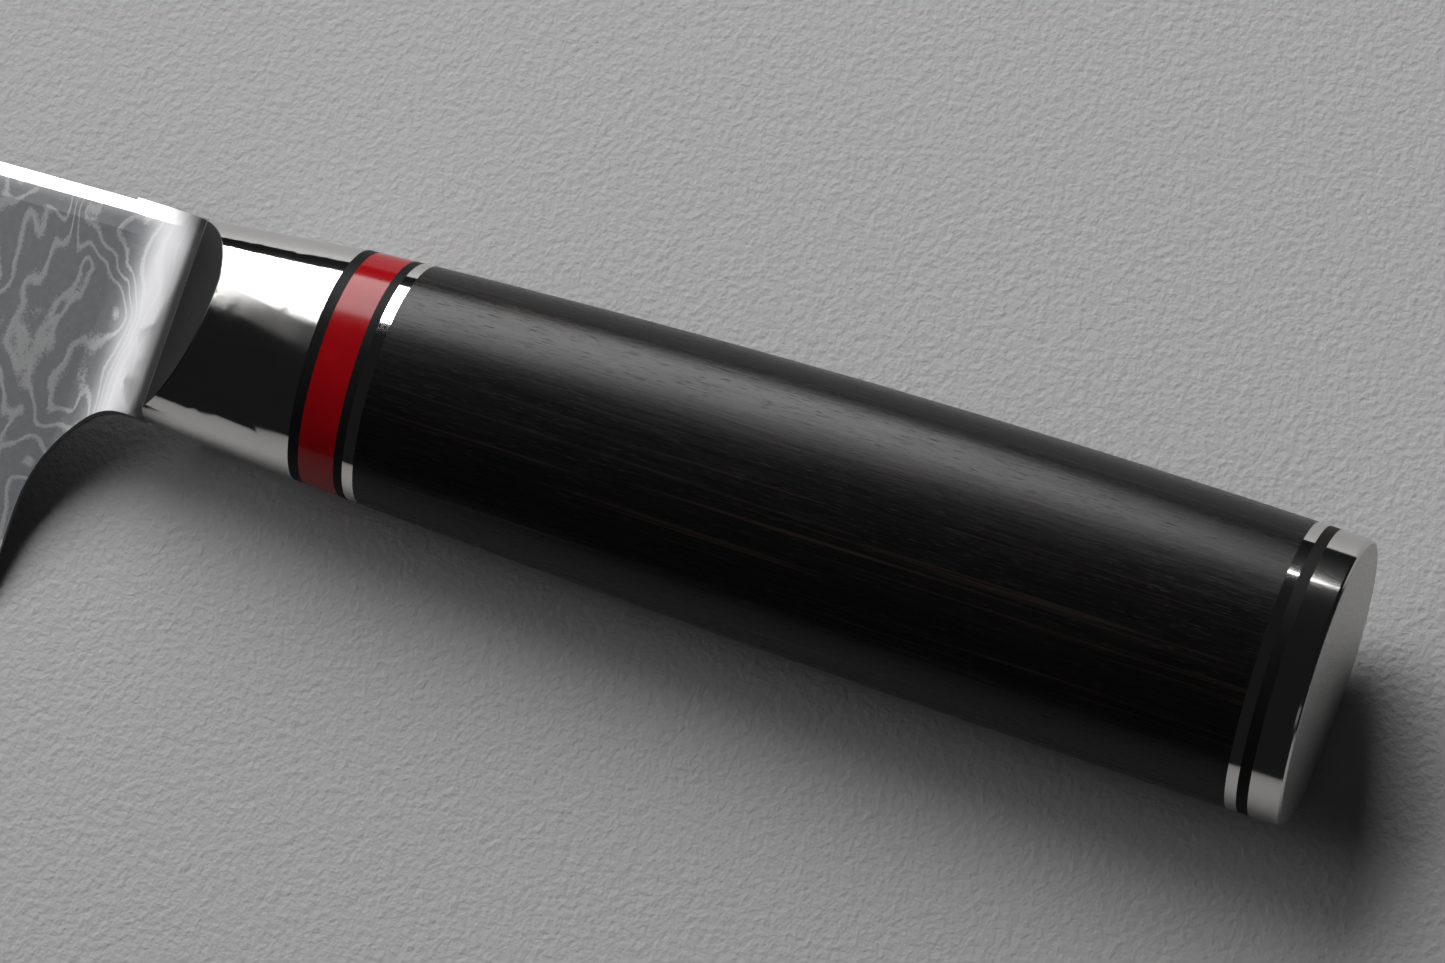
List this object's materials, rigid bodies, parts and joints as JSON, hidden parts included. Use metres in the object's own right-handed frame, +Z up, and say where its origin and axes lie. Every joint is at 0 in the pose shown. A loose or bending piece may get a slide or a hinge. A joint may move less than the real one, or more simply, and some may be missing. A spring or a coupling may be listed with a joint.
{
  "type": "chef knife",
  "caption": "Chef knife lying on its side, with a pattern-welded laminated blade, steel bolster, coloured spacer rings, oval black wood grip and steel end cap.",
  "frame": {"origin": "middle of the box that the knife fills, on the surface it lies on", "axes": "+X along the knife towards the butt of the handle, +Y towards the spine, +Z up, with the left side of the blade facing up; the knife is tipped about 13 degrees edge down and 1 degree point down, the way it comes to rest"},
  "size_m": [0.3306, 0.0496, 0.0244],
  "materials": {
    "core_steel": "satin ground hard core steel",
    "cladding_steel": "etched pattern-welded steel, satin",
    "polished_steel": "mirror polished stainless steel",
    "black_spacer": "satin black fibre-filled resin",
    "red_resin": "polished deep red resin",
    "grip_wood": "resin-stabilised black wood, hand rubbed",
    "rod_steel": "turned steel",
    "cured_epoxy": "cured epoxy"
  },
  "bodies": {
    "root": {"blade_core": "core_steel", "cladding_left": "cladding_steel", "cladding_right": "cladding_steel", "bolster": "polished_steel", "front_black_spacer": "black_spacer", "red_spacer": "red_resin", "middle_black_spacer": "black_spacer", "front_steel_washer": "polished_steel", "handle_grip": "grip_wood", "rear_steel_washer": "polished_steel", "rear_black_spacer": "black_spacer", "end_cap": "polished_steel", "tang_rod": "rod_steel", "epoxy_bedding": "cured_epoxy"}
  },
  "joints": []
}
